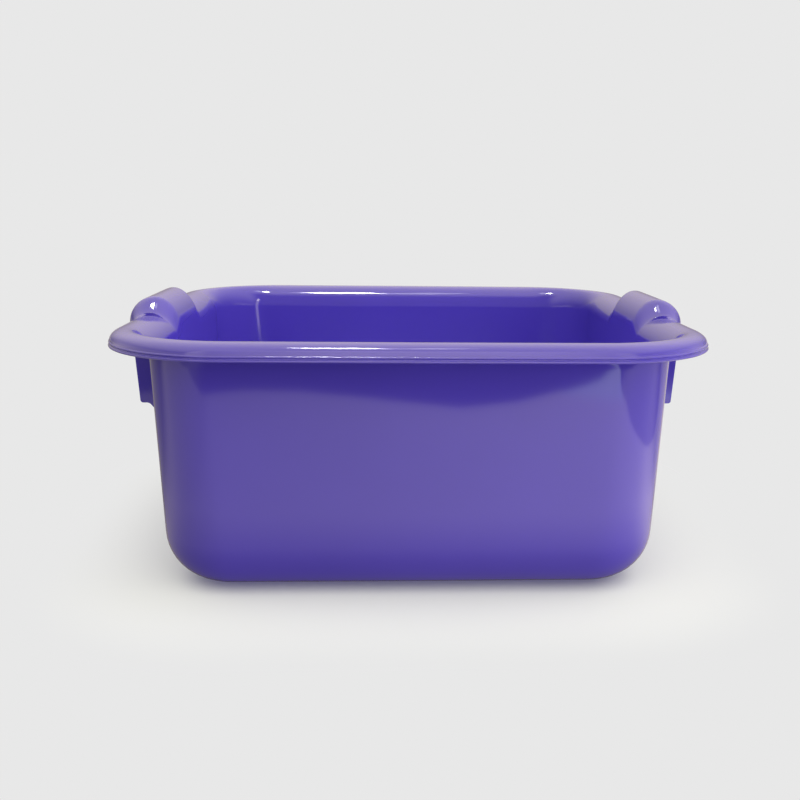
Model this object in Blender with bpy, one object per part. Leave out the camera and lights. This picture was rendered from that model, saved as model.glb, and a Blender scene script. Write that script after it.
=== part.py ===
"""Square plastic basin with a rolled rim and two raised side grips.

The basin is one injection moulding. It is modelled here by its members: a floor, four
walls, the rim in two halves, two grips, four webs and a foot ring. Thin seams part them.

Units are metres. The origin is the middle of the foot ring's underside, +Z is up, the
front faces -Y and the two grips are on the left (-X) and the right (+X).
"""

import math

import bmesh
import bpy
from mathutils import Vector

# Rim seen from above
RIM_WIDTH = 0.400  # left to right, outside the lip
RIM_DEPTH = 0.400  # front to back, outside the lip
RIM_CORNER_RADIUS = 0.086  # outside the lip
SIDE_BOW = 0.0005  # how far each straight side swells out at its middle

# Heights above the surface that the basin stands on
RIM_CREST_HEIGHT = 0.1743
FOOT_HEIGHT = 0.002  # gap under the floor, made by the foot ring

# Rim in section, measured inward from the lip's outer face and down from the crest
RIM_OVERHANG = 0.0283  # lip's outer face to the wall's outer face
CREST_INSET = 0.0126
SHOULDER_DROP = 0.0185  # where the roll leaves the wall
SHOULDER_FULLNESS = 0.52  # how far the roll bulges between crest and wall
BROW_FULLNESS = 0.55  # the same between crest and ridge, about a quarter of an ellipse
SEAM_LEG = 0.004  # straight leg between the roll and the seam to the wall
RIDGE_INSET = 0.0008
RIDGE_DROP = 0.0069  # fine ridge where the roll ends
GROOVE_DEPTH = 0.0005
GROOVE_DROP = 0.0016  # below the ridge
BEAD_HEIGHT = 0.0026  # small bead along the lower edge of the lip
LIP_THICKNESS = 0.0030

# Walls and floor
WALL_THICKNESS = 0.0020  # one thickness for walls, floor and the skin of the rim
WALL_DRAFT = math.radians(1.7)
WALL_CORNER_RADIUS = 0.0434  # outer corner of the walls where the roll begins
BASE_CORNER_RADIUS = 0.0475  # outer corner where the bottom curve begins
BOTTOM_CURVE_RADIUS = 0.0353

# Grips, raised arches of the rim on the left and right sides
GRIP_LENGTH = 0.150  # seam to seam
GRIP_RISE = 0.0114  # crest of the arch above the crest of the rim
GRIP_INNER_RISE = 0.0076  # the wall follows the arch up on the inside
GRIP_BULGE = 0.0059  # the lip stands this much further out at the arch
GRIP_TOP_LENGTH = 0.071  # full height along the crest, between the two sloping ends
GRIP_SLOPE_LENGTH = 0.0205  # each sloping end, along the side
GRIP_END_SLANT = 0.0096  # each end lies this much further along at the lip than inside

# Webs that join the grips to the wall
WEB_SPACING = 0.106  # between the middles of the two webs of one grip
WEB_THICKNESS = 0.0025
WEB_HEIGHT = 0.054  # outer edge, below the lip
WEB_DRAFT = math.radians(3.8)  # lean of the outer edge
WEB_CORNER_RADIUS = 0.0020
WEB_FLAT = 0.0045  # level lower edge
WEB_HOLLOW_RADIUS = 0.0040  # between the level edge and the sloping one
WEB_FOOT_ANGLE = math.radians(50.0)  # slope of the lower edge down to the wall

# Foot ring
FOOT_RING_MARGIN = 0.005  # floor's flat edge to the ring
FOOT_RING_WIDTH = 0.005

# Clearance
SEAM = 0.0003  # between neighbouring members

# Fineness of the curves
CORNER_STEPS = 10
SIDE_STEPS = 6
STUB_STEPS = 2
ROLL_STEPS = 6
CURVE_STEPS = 7
SLOPE_STEPS = 8
TOP_STEPS = 4
FILLET_STEPS = 4

# Colour of the plastic, as linear RGB, and its gloss
VIOLET = (0.108, 0.066, 0.420, 1.0)
ROUGHNESS = 0.22

# Each side's outward direction and the direction along it, counter-clockwise from the front
FRONT, RIGHT, BACK, LEFT = range(4)
OUTWARD = (Vector((0, -1)), Vector((1, 0)), Vector((0, 1)), Vector((-1, 0)))
ALONG = (Vector((1, 0)), Vector((0, 1)), Vector((-1, 0)), Vector((0, -1)))

# Levels and places that follow from the sizes above
ROLL_START_Z = RIM_CREST_HEIGHT - SHOULDER_DROP
WALL_SEAM_Z = ROLL_START_Z - SEAM_LEG
RIDGE_Z = RIM_CREST_HEIGHT - RIDGE_DROP
LIP_BOTTOM_Z = RIDGE_Z - GROOVE_DROP - BEAD_HEIGHT


def clear_scene():
    """Remove every object that the file opened with."""
    for item in list(bpy.data.objects):
        bpy.data.objects.remove(item, do_unlink=True)


def half_size(side):
    """Distance from the middle of the basin to the lip's outer face on one side."""
    return RIM_DEPTH / 2 if side in (FRONT, BACK) else RIM_WIDTH / 2


def side_reach(side, inset, radius):
    """Distance from the middle of a side to the start of its corners."""
    return half_size((side + 1) % 4) - inset - radius


def side_point(side, along, inset, radius):
    """Plan point on a straight side, this far along it from the middle."""
    share = along / side_reach(side, inset, radius)
    swell = SIDE_BOW * (1 - share * share) ** 2
    return OUTWARD[side] * (half_size(side) - inset + swell) + ALONG[side] * along


def corner_point(side, angle, shift, inset, radius):
    """Plan point on the corner after a side; shift moves it along the arc by a length."""
    crossing = (side + 1) % 4
    turn = angle + shift / radius
    centre = OUTWARD[side] * (half_size(side) - inset - radius)
    centre = centre + OUTWARD[crossing] * (half_size(crossing) - inset - radius)
    direction = OUTWARD[side] * math.cos(turn) + OUTWARD[crossing] * math.sin(turn)
    return centre + direction * radius


def side_station(side, share, start=0.0):
    """A place on a side, as a function of inset and corner radius.

    share runs from 0 at the distance start from the side's middle to 1 at the corner, and
    is negative on the other half of the side.
    """

    def place(inset, radius):
        reach = side_reach(side, inset, radius)
        along = math.copysign(start + (reach - start) * abs(share), share)
        return side_point(side, along, inset, radius)

    return place


def grip_station(side, distance):
    """A place at one distance from the side's middle, whatever the inset."""
    return lambda inset, radius: side_point(side, distance, inset, radius)


def corner_station(side, angle, shift=0.0):
    """A place round a corner, as a function of inset and corner radius."""
    return lambda inset, radius: corner_point(side, angle, shift, inset, radius)


def spread(first, last, steps):
    """Evenly spaced values from first to last, both included."""
    return [first + (last - first) * index / steps for index in range(steps + 1)]


def wall_inset(z):
    """Inset of the wall's outer face: it leans in below the roll and is upright above."""
    return RIM_OVERHANG + max(ROLL_START_Z - z, 0.0) * math.tan(WALL_DRAFT)


def rim_radius(inset):
    """Corner radius of the rim's face: one centre outside the crest, tighter inside it."""
    crest_radius = RIM_CORNER_RADIUS - CREST_INSET
    if inset <= CREST_INSET:
        return RIM_CORNER_RADIUS - inset
    share = (inset - CREST_INSET) / (RIM_OVERHANG + WALL_THICKNESS - CREST_INSET)
    return crest_radius + (WALL_CORNER_RADIUS - WALL_THICKNESS - crest_radius) * share


def rim_pair(face, hidden):
    """Face point and hidden point of the rim's section, whose corners share one centre."""
    radius = rim_radius(face[0])
    return (face[0], radius, face[1]), (hidden[0], radius + face[0] - hidden[0], hidden[1])


def arch_share(distance, outward):
    """How much of the arch's rise is reached this far along the side from its middle.

    outward runs from 0 inside, where the roll leaves the wall, to 1 at the lip.
    """
    top = GRIP_TOP_LENGTH / 2 + GRIP_END_SLANT * (outward - 0.5)
    share = (top + GRIP_SLOPE_LENGTH - abs(distance)) / GRIP_SLOPE_LENGTH
    share = min(max(share, 0.0), 1.0)
    return share * share * (3 - 2 * share)


def quarter_curve(share, fullness):
    """Reach and drop, each from 0 to 1, of a curve that starts level and ends upright.

    The other two values are the slopes of reach and drop at the same place.
    """
    rest = 1 - share
    reach = 3 * rest * rest * share * fullness + 3 * rest * share * share + share**3
    drop = 3 * rest * share * share * (1 - fullness) + share**3
    run = 3 * rest * rest * fullness + 6 * rest * share * (1 - fullness)
    fall = 6 * rest * share * (1 - fullness) + 3 * share * share * fullness
    return reach, drop, run, fall


def roll_point(distance, way, share, depth):
    """Point of the roll, way -1 from the crest to the wall or 1 from the crest to the lip."""
    reach, drop, run, fall = quarter_curve(share, SHOULDER_FULLNESS if way < 0 else BROW_FULLNESS)
    rise = 0.0 if distance is None else arch_share(distance, (1 + way * reach) / 2)
    crest_z = RIM_CREST_HEIGHT + rise * GRIP_RISE
    if way < 0:
        height = crest_z - ROLL_START_Z - rise * GRIP_INNER_RISE
        across = RIM_OVERHANG + WALL_THICKNESS - CREST_INSET
    else:
        height = crest_z - RIDGE_Z
        across = CREST_INSET - RIDGE_INSET + rise * GRIP_BULGE
    normal = Vector((fall * height, run * across)).normalized() * depth
    inset = CREST_INSET - way * (across * reach - normal.x)
    return inset, crest_z - height * drop - normal.y


def roll_skin(distance, depth):
    """Points of the roll from the wall over the crest to the ridge, depth below its face.

    The roll is two quarter curves that meet level at the crest. The points of a deeper
    skin are moved along the face's normals, so the skin keeps one thickness. A distance of
    None gives the plain rim without an arch.
    """
    shares = spread(1.0, 0.0, ROLL_STEPS)
    points = [roll_point(distance, -1, share, depth) for share in shares]
    shares = spread(0.0, 1.0, ROLL_STEPS)[1:]
    return points + [roll_point(distance, 1, share, depth) for share in shares]


def lip_bulge(distance):
    """How far the lip stands out at this distance from the middle of a grip."""
    return 0.0 if distance is None else GRIP_BULGE * arch_share(distance, 1.0)


def rim_section(distance=None):
    """Pairs of points, face and hidden side, of the rim's skin at a place on its side."""
    leg_z = WALL_SEAM_Z + SEAM
    leg_inset = wall_inset(leg_z)
    pairs = [rim_pair((leg_inset + WALL_THICKNESS, leg_z), (leg_inset, leg_z))]
    faces = roll_skin(distance, 0.0)
    hidden = roll_skin(distance, WALL_THICKNESS)
    for face, back in zip(faces[:-1], hidden[:-1]):
        pairs.append(rim_pair(face, back))
    bulge = lip_bulge(distance)
    bead_top = RIDGE_Z - GROOVE_DROP
    lip = (
        (RIDGE_INSET, RIDGE_Z),
        (RIDGE_INSET + GROOVE_DEPTH, bead_top),
        (0.0, bead_top - BEAD_HEIGHT / 3),
        (0.0, LIP_BOTTOM_Z + BEAD_HEIGHT / 3),
        (BEAD_HEIGHT / 4, LIP_BOTTOM_Z),
    )
    for inset, z in lip:
        pairs.append(rim_pair((inset - bulge, z), (LIP_THICKNESS - bulge, z)))
    return pairs


def bottom_curve():
    """Centre of the bottom curve's arc and the place where it leaves the wall."""
    centre_z = FOOT_HEIGHT + BOTTOM_CURVE_RADIUS
    start_z = centre_z - BOTTOM_CURVE_RADIUS * math.sin(WALL_DRAFT)
    start_inset = wall_inset(start_z)
    centre_inset = start_inset + BOTTOM_CURVE_RADIUS * math.cos(WALL_DRAFT)
    return centre_inset, centre_z, start_inset, start_z


def wall_radius(z):
    """Corner radius of the wall's outer face, from the bottom curve up to the roll."""
    start_z = bottom_curve()[3]
    share = (z - start_z) / (ROLL_START_Z - start_z)
    return BASE_CORNER_RADIUS + (WALL_CORNER_RADIUS - BASE_CORNER_RADIUS) * share


def wall_section():
    """Pairs of points, outer and inner, from the rim's seam down to the floor's edge."""
    centre_inset, centre_z, start_inset, start_z = bottom_curve()
    pairs = []
    for z in spread(WALL_SEAM_Z, start_z, 2)[:-1]:
        inset, radius = wall_inset(z), wall_radius(z)
        outer = (inset, radius, z)
        inner = (inset + WALL_THICKNESS, radius - WALL_THICKNESS, z)
        pairs.append((outer, inner))
    for angle in spread(WALL_DRAFT, math.pi / 2, CURVE_STEPS):
        pair = []
        for arc in (BOTTOM_CURVE_RADIUS, BOTTOM_CURVE_RADIUS - WALL_THICKNESS):
            inset = centre_inset - arc * math.cos(angle)
            radius = BASE_CORNER_RADIUS - (inset - start_inset)
            pair.append((inset, radius, centre_z - arc * math.sin(angle)))
        pairs.append(tuple(pair))
    return pairs


def floor_edge():
    """Inset and corner radius of the flat floor, where the bottom curve ends."""
    centre_inset, _, start_inset, _ = bottom_curve()
    return centre_inset, BASE_CORNER_RADIUS - (centre_inset - start_inset)


def plastic(name):
    """The glossy violet plastic, one material for each member."""
    material = bpy.data.materials.new(name + "_plastic")
    material.use_nodes = True
    shader = material.node_tree.nodes["Principled BSDF"]
    shader.inputs["Base Color"].default_value = VIOLET
    shader.inputs["Roughness"].default_value = ROUGHNESS
    shader.inputs["Metallic"].default_value = 0.0
    material.diffuse_color = VIOLET
    return material


def add_member(name, shape, parent):
    """Make an object of a bmesh, shade it and hang it under the basin's empty."""
    bmesh.ops.recalc_face_normals(shape, faces=shape.faces)
    mesh = bpy.data.meshes.new(name)
    shape.to_mesh(mesh)
    shape.free()
    mesh.shade_smooth()
    mesh.set_sharp_from_angle(angle=math.radians(35))
    mesh.materials.append(plastic(name))
    member = bpy.data.objects.new(name, mesh)
    bpy.context.scene.collection.objects.link(member)
    member.parent = parent
    return member


def loft(stations, sections, closed=False):
    """Skin of a strip that is swept along stations, one section of point pairs for each."""
    shape = bmesh.new()
    rows = []
    for place, section in zip(stations, sections):
        row = []
        for pair in section:
            ends = []
            for inset, radius, z in pair:
                plan = place(inset, radius)
                ends.append(shape.verts.new((plan.x, plan.y, z)))
            row.append(ends)
        rows.append(row)
    neighbours = list(zip(rows, rows[1:]))
    if closed:
        neighbours.append((rows[-1], rows[0]))
    for near, far in neighbours:
        for index in range(len(near) - 1):
            for skin in (0, 1):
                corners = (near[index], far[index], far[index + 1], near[index + 1])
                shape.faces.new([corner[skin] for corner in corners])
        for edge in (0, -1):
            shape.faces.new((near[edge][0], far[edge][0], far[edge][1], near[edge][1]))
    if not closed:
        for row in (rows[0], rows[-1]):
            for low, high in zip(row, row[1:]):
                shape.faces.new((low[0], high[0], high[1], low[1]))
    return shape


def extrude_outline(outline, to_world):
    """Solid between two copies of an outline, one at each of the two given placings."""
    shape = bmesh.new()
    layers = [[shape.verts.new(place(*point)) for point in outline] for place in to_world]
    for layer in layers:
        shape.faces.new(layer)
    count = len(outline)
    for index in range(count):
        after = (index + 1) % count
        near, far = layers
        shape.faces.new((near[index], near[after], far[after], far[index]))
    return shape


def ring_stations(corner_steps):
    """Stations once round the basin, counter-clockwise from the middle of the front."""
    stations = []
    for side in (FRONT, RIGHT, BACK, LEFT):
        stations += [side_station(side, share) for share in spread(-1.0, 1.0, SIDE_STEPS)]
        turns = spread(0.0, math.pi / 2, corner_steps)[1:-1]
        stations += [corner_station(side, angle) for angle in turns]
    return stations


def make_floor(parent):
    """Flat floor panel inside the bottom curve of the walls."""
    inset, radius = floor_edge()
    outline = []
    for place in ring_stations(CORNER_STEPS):
        plan = place(inset + SEAM, radius - SEAM)
        outline.append((plan.x, plan.y))
    levels = (FOOT_HEIGHT, FOOT_HEIGHT + WALL_THICKNESS)
    placings = [lambda x, y, z=level: Vector((x, y, z)) for level in levels]
    add_member("floor_panel", extrude_outline(outline, placings), parent)


def make_foot_ring(parent):
    """Low ring under the floor that the basin stands on."""
    inset, radius = floor_edge()
    outer = (inset + FOOT_RING_MARGIN, radius - FOOT_RING_MARGIN)
    inner = (outer[0] + FOOT_RING_WIDTH, max(outer[1] - FOOT_RING_WIDTH, SEAM))
    levels = (FOOT_HEIGHT - SEAM, 0.0)
    section = [((*outer, level), (*inner, level)) for level in levels]
    stations = ring_stations(CORNER_STEPS)
    add_member("foot_ring", loft(stations, [section] * len(stations), closed=True), parent)


def make_walls(parent):
    """Four walls, each with half of its two corners and its part of the bottom curve."""
    names = {FRONT: "front_wall", RIGHT: "right_wall", BACK: "back_wall", LEFT: "left_wall"}
    section = wall_section()
    for side, name in names.items():
        before = (side + 3) % 4
        half_turn = spread(math.pi / 4, math.pi / 2, CORNER_STEPS // 2)
        stations = [corner_station(before, half_turn[0], SEAM / 2)]
        stations += [corner_station(before, angle) for angle in half_turn[1:-1]]
        stations += [side_station(side, share) for share in spread(-1.0, 1.0, SIDE_STEPS)]
        half_turn = spread(0.0, math.pi / 4, CORNER_STEPS // 2)
        stations += [corner_station(side, angle) for angle in half_turn[1:-1]]
        stations.append(corner_station(side, half_turn[-1], -SEAM / 2))
        add_member(name, loft(stations, [section] * len(stations)), parent)


def make_rim_halves(parent):
    """Rim along the front and the back, each with two corners and the stubs to the grips."""
    section = rim_section()
    for side, name in ((FRONT, "front_rim"), (BACK, "back_rim")):
        before, after = (side + 3) % 4, (side + 1) % 4
        start = GRIP_LENGTH / 2 + SEAM
        stub = spread(0.0, 1.0, STUB_STEPS)
        stations = [side_station(before, share, start) for share in stub]
        turns = spread(0.0, math.pi / 2, CORNER_STEPS)[1:-1]
        stations += [corner_station(before, angle) for angle in turns]
        stations += [side_station(side, share) for share in spread(-1.0, 1.0, SIDE_STEPS)]
        stations += [corner_station(side, angle) for angle in turns]
        stations += [side_station(after, -share, start) for share in reversed(stub)]
        add_member(name, loft(stations, [section] * len(stations)), parent)


def grip_distances():
    """Distances from a grip's middle to its stations, closest together on the slopes."""
    top = (GRIP_TOP_LENGTH - GRIP_END_SLANT) / 2
    foot = (GRIP_TOP_LENGTH + GRIP_END_SLANT) / 2 + GRIP_SLOPE_LENGTH
    half = spread(0.0, top, TOP_STEPS)
    half += spread(top, foot, SLOPE_STEPS)[1:]
    half.append(GRIP_LENGTH / 2)
    return [-distance for distance in reversed(half[1:])] + half


def make_grips(parent):
    """Arches of the rim in the middle of the left and right sides."""
    for side, name in ((LEFT, "left_grip"), (RIGHT, "right_grip")):
        distances = grip_distances()
        stations = [grip_station(side, distance) for distance in distances]
        sections = [rim_section(distance) for distance in distances]
        add_member(name, loft(stations, sections), parent)


def rounded_corner(before, corner, after, radius):
    """Points of an arc that rounds the corner of an outline."""
    corner = Vector(corner)
    to_before = (Vector(before) - corner).normalized()
    to_after = (Vector(after) - corner).normalized()
    half = to_before.angle(to_after) / 2
    bisector = (to_before + to_after).normalized()
    centre = corner + bisector * (radius / math.sin(half))
    first = corner + to_before * (radius / math.tan(half)) - centre
    last = corner + to_after * (radius / math.tan(half)) - centre
    points = []
    for share in spread(0.0, 1.0, FILLET_STEPS):
        arm = first * (1 - share) + last * share
        points.append(tuple(centre + arm.normalized() * radius))
    return points


def web_foot_level(inset, z):
    """Height at which the sloping edge that leaves (inset, z) reaches the wall's seam."""
    run = 1 / math.tan(WEB_FOOT_ANGLE)
    lean = math.tan(WALL_DRAFT)
    return (inset + z * run - RIM_OVERHANG - ROLL_START_Z * lean + SEAM) / (run - lean)


def web_outline():
    """Outline of a web as (inset, z): up the wall, over under the roll, down the edge."""
    outer_face = (WEB_SPACING + WEB_THICKNESS) / 2
    bulge = lip_bulge(outer_face)
    bottom_z = LIP_BOTTOM_Z - WEB_HEIGHT
    top_z = LIP_BOTTOM_Z - SEAM
    edge_top = (-bulge, top_z)
    edge_low = (edge_top[0] + (top_z - bottom_z) * math.tan(WEB_DRAFT), bottom_z)
    flat_end = (edge_low[0] + WEB_FLAT, bottom_z)
    hollow = []
    for angle in spread(0.0, WEB_FOOT_ANGLE, FILLET_STEPS):
        inset = flat_end[0] + WEB_HOLLOW_RADIUS * math.sin(angle)
        hollow.append((inset, bottom_z - WEB_HOLLOW_RADIUS * (1 - math.cos(angle))))
    foot_z = web_foot_level(*hollow[-1])
    outline = [(wall_inset(foot_z) - SEAM, foot_z), (RIM_OVERHANG - SEAM, ROLL_START_Z)]
    skirt_inset = LIP_THICKNESS - bulge + SEAM
    under = roll_skin(outer_face, WALL_THICKNESS + SEAM)
    outline += [point for point in under[1:] if point[0] > skirt_inset and point[1] > top_z]
    outline += [(skirt_inset, outline[-1][1]), (skirt_inset, top_z), edge_top]
    outline += rounded_corner(edge_top, edge_low, flat_end, WEB_CORNER_RADIUS)
    return outline + hollow


def make_webs(parent):
    """Upright webs between the wall and the underside of each grip's two ends."""
    outline = web_outline()
    for side, side_name in ((LEFT, "left"), (RIGHT, "right")):
        for end, end_name in ((-1, "front"), (1, "back")):
            middle = end * WEB_SPACING / 2
            outward = OUTWARD[side].x
            placings = []
            for face in (middle - WEB_THICKNESS / 2, middle + WEB_THICKNESS / 2):
                reach = abs(side_point(side, face, 0.0, RIM_CORNER_RADIUS).x)
                placings.append(
                    lambda inset, z, y=face, lip=reach, sign=outward: Vector(
                        (sign * (lip - inset), y, z)
                    )
                )
            name = side_name + "_" + end_name + "_web"
            add_member(name, extrude_outline(outline, placings), parent)


def main():
    """Build the basin."""
    clear_scene()
    basin = bpy.data.objects.new("basin", None)
    bpy.context.scene.collection.objects.link(basin)
    make_floor(basin)
    make_foot_ring(basin)
    make_walls(basin)
    make_rim_halves(basin)
    make_grips(basin)
    make_webs(basin)


main()
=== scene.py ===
"""Square household basin in glossy violet polypropylene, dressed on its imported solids.

The real basin is one injection moulding, so its floor, walls, rolled rim, grips and foot ring
are one unbroken shell here, and the four webs are let into it. Everything is in metres, the
origin is the middle of the surface that the basin stands on, +Z is up and the front faces -Y.
"""

import logging
import math
from dataclasses import dataclass, field
from enum import Enum

import bpy
import numpy as np
from mathutils import Matrix, Vector


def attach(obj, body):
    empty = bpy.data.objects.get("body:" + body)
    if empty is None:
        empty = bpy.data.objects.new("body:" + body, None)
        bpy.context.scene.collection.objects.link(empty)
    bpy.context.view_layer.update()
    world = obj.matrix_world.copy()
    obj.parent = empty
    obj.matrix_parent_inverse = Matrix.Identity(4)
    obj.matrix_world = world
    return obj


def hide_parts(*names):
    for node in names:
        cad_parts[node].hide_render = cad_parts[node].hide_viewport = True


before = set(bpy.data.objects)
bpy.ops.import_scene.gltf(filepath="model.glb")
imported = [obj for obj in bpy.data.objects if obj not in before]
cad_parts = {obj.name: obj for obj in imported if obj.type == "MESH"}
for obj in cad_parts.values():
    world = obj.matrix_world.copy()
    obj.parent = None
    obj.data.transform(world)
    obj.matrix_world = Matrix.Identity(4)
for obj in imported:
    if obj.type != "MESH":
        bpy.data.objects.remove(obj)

LOG = logging.getLogger("basin")

# Half the flat width of the basin's foot, from which the paper's shade and the painted shadow on
# the pale ground are measured.
FOOT_HALF = 0.12

# Inset from the rim's half side, corner radius and height, each at every station of the grid.
Row = tuple[np.ndarray, np.ndarray, np.ndarray]


class Side(Enum):
    """A side of the basin, with its outward direction in plan."""

    FRONT = (0.0, -1.0)
    RIGHT = (1.0, 0.0)
    BACK = (0.0, 1.0)
    LEFT = (-1.0, 0.0)

    @property
    def turned(self) -> tuple[float, float]:
        """Direction along the side, counter-clockwise seen from above."""
        return (-self.value[1], self.value[0])

    @property
    def has_grip(self) -> bool:
        """Whether the rim rises into a grip on this side."""
        return self in (Side.LEFT, Side.RIGHT)


class Flank(Enum):
    """A side of the roll, with its direction across the rim."""

    SHOULDER = -1
    BROW = 1


class Glint(Enum):
    """What a lamp does to the basin."""

    MIRRORED = "seen only in reflections"
    SOFT = "lights the basin without being mirrored"
    PAPER = "lights only the paper that the basin stands on"


class Measure(Enum):
    """What a fade runs along. The first three are parts of the place."""

    ACROSS = "X"
    BACK = "Y"
    UP = "Z"
    ASIDE = "distance to the left or right of a centre"
    FOOT = "distance from the foot of the basin"
    PATH = "length of the ray that meets the card"
    REVERSE = "0 on a card's face and 1 on its back"


def linear(hex_colour: str) -> tuple[float, float, float, float]:
    """Turn an sRGB hex colour into linear values.

    Args:
        hex_colour: Six hex digits, with or without a leading hash.

    Returns:
        Red, green, blue and an alpha of 1.
    """
    digits = hex_colour.lstrip("#")
    values = []
    for start in (0, 2, 4):
        part = int(digits[start : start + 2], 16) / 255
        values.append(part / 12.92 if part <= 0.04045 else ((part + 0.055) / 1.055) ** 2.4)
    return (*values, 1.0)


def add_node(tree: bpy.types.NodeTree, kind: str, **settings: object) -> bpy.types.Node:
    """Add a node, set its properties and fill or link its inputs.

    Args:
        tree: The tree that the node goes into.
        kind: Blender's type name of the node.
        **settings: A property's name and value, or inputs, a dict from an input's name or
            number to a value or to the output socket that feeds it.

    Returns:
        The new node.
    """
    inputs = settings.pop("inputs", {})
    node = tree.nodes.new(kind)
    for name, value in settings.items():
        setattr(node, name, value)
    for name, value in inputs.items():
        if isinstance(value, bpy.types.NodeSocket):
            tree.links.new(value, node.inputs[name])
        else:
            node.inputs[name].default_value = value
    return node


@dataclass(frozen=True)
class GlossyPolypropylene:
    """Polypropylene, injection moulded in a polished tool and coloured in the melt.

    The skin is nearly a mirror, so lamps show with crisp edges. The wall shrinks unevenly as
    it cools, which gives long shallow waves, and a finer grain dulls the gloss a little. On
    the ridge round the rim the two tool halves meet, and the thin flash there is nibbled, so
    it sparkles.
    """

    name: str = "violet_polypropylene"
    deep: str = "#4738A5"
    light: str = "#4D3CAF"
    cloud_length: float = 0.09
    roughness: float = 0.07
    ior: float = 1.5
    wave_length: float = 0.060
    wave_height: float = 0.00004
    grain_length: float = 0.0022
    grain_height: float = 0.0000012
    flash_length: float = 0.0016
    flash_height: float = 0.00022

    def make(self) -> bpy.types.Material:
        """Build the material.

        The flash bumps only the rows of the ridge, where the mesh's flash attribute is 1.

        Returns:
            The plastic.
        """
        material = bpy.data.materials.new(self.name)
        material.use_nodes = True
        tree = material.node_tree
        shader = tree.nodes["Principled BSDF"]
        shader.inputs["Roughness"].default_value = self.roughness
        shader.inputs["IOR"].default_value = self.ior
        place = add_node(tree, "ShaderNodeTexCoord").outputs["Object"]
        noises = []
        for length, detail in (
            (self.cloud_length, 2.0),
            (self.wave_length, 1.0),
            (self.grain_length, 2.0),
            (self.flash_length, 1.0),
        ):
            inputs = {"Vector": place, "Scale": 1 / length, "Detail": detail}
            noises.append(add_node(tree, "ShaderNodeTexNoise", inputs=inputs).outputs[0])
        clouds, waves, grain, flash = noises
        inputs = {0: clouds, 6: linear(self.deep), 7: linear(self.light)}
        tint = add_node(tree, "ShaderNodeMix", data_type="RGBA", inputs=inputs)
        tree.links.new(tint.outputs[2], shader.inputs["Base Color"])
        inputs = {"Height": waves, "Distance": self.wave_height}
        relief = add_node(tree, "ShaderNodeBump", inputs=inputs).outputs[0]
        ridge = add_node(tree, "ShaderNodeAttribute", attribute_name="flash").outputs["Fac"]
        for strength, height, distance in (
            (1.0, grain, self.grain_height),
            (ridge, flash, self.flash_height),
        ):
            inputs = {"Strength": strength, "Height": height, "Distance": distance}
            inputs["Normal"] = relief
            relief = add_node(tree, "ShaderNodeBump", inputs=inputs).outputs[0]
        tree.links.new(relief, shader.inputs["Normal"])
        return material


def spread(first: float, last: float, steps: int) -> np.ndarray:
    """Evenly spaced values from first to last, both included."""
    return np.linspace(first, last, steps + 1)


def smooth_step(share: np.ndarray) -> np.ndarray:
    """Ease a share from 0 to 1 at both ends, as three squares less two cubes."""
    return share * share * (3 - 2 * share)


def roll_curve(share: np.ndarray, fullness: float) -> tuple[np.ndarray, np.ndarray]:
    """Cubic curve of the roll, from its level crest to an upright end.

    The reach is 3(1-t)(1-t)t times the fullness, plus 3(1-t)tt, plus ttt. The drop is
    3(1-t)tt times one less the fullness, plus ttt.

    Args:
        share: Place t on the curve, 0 at the crest and 1 at its end.
        fullness: How far the curve keeps level before it turns down, 0 to 1.

    Returns:
        The reach and the drop, both from 0 to 1.
    """
    rest = 1 - share
    reach = 3 * rest * rest * share * fullness + 3 * rest * share * share + share**3
    drop = 3 * rest * share * share * (1 - fullness) + share**3
    return reach, drop


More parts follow.
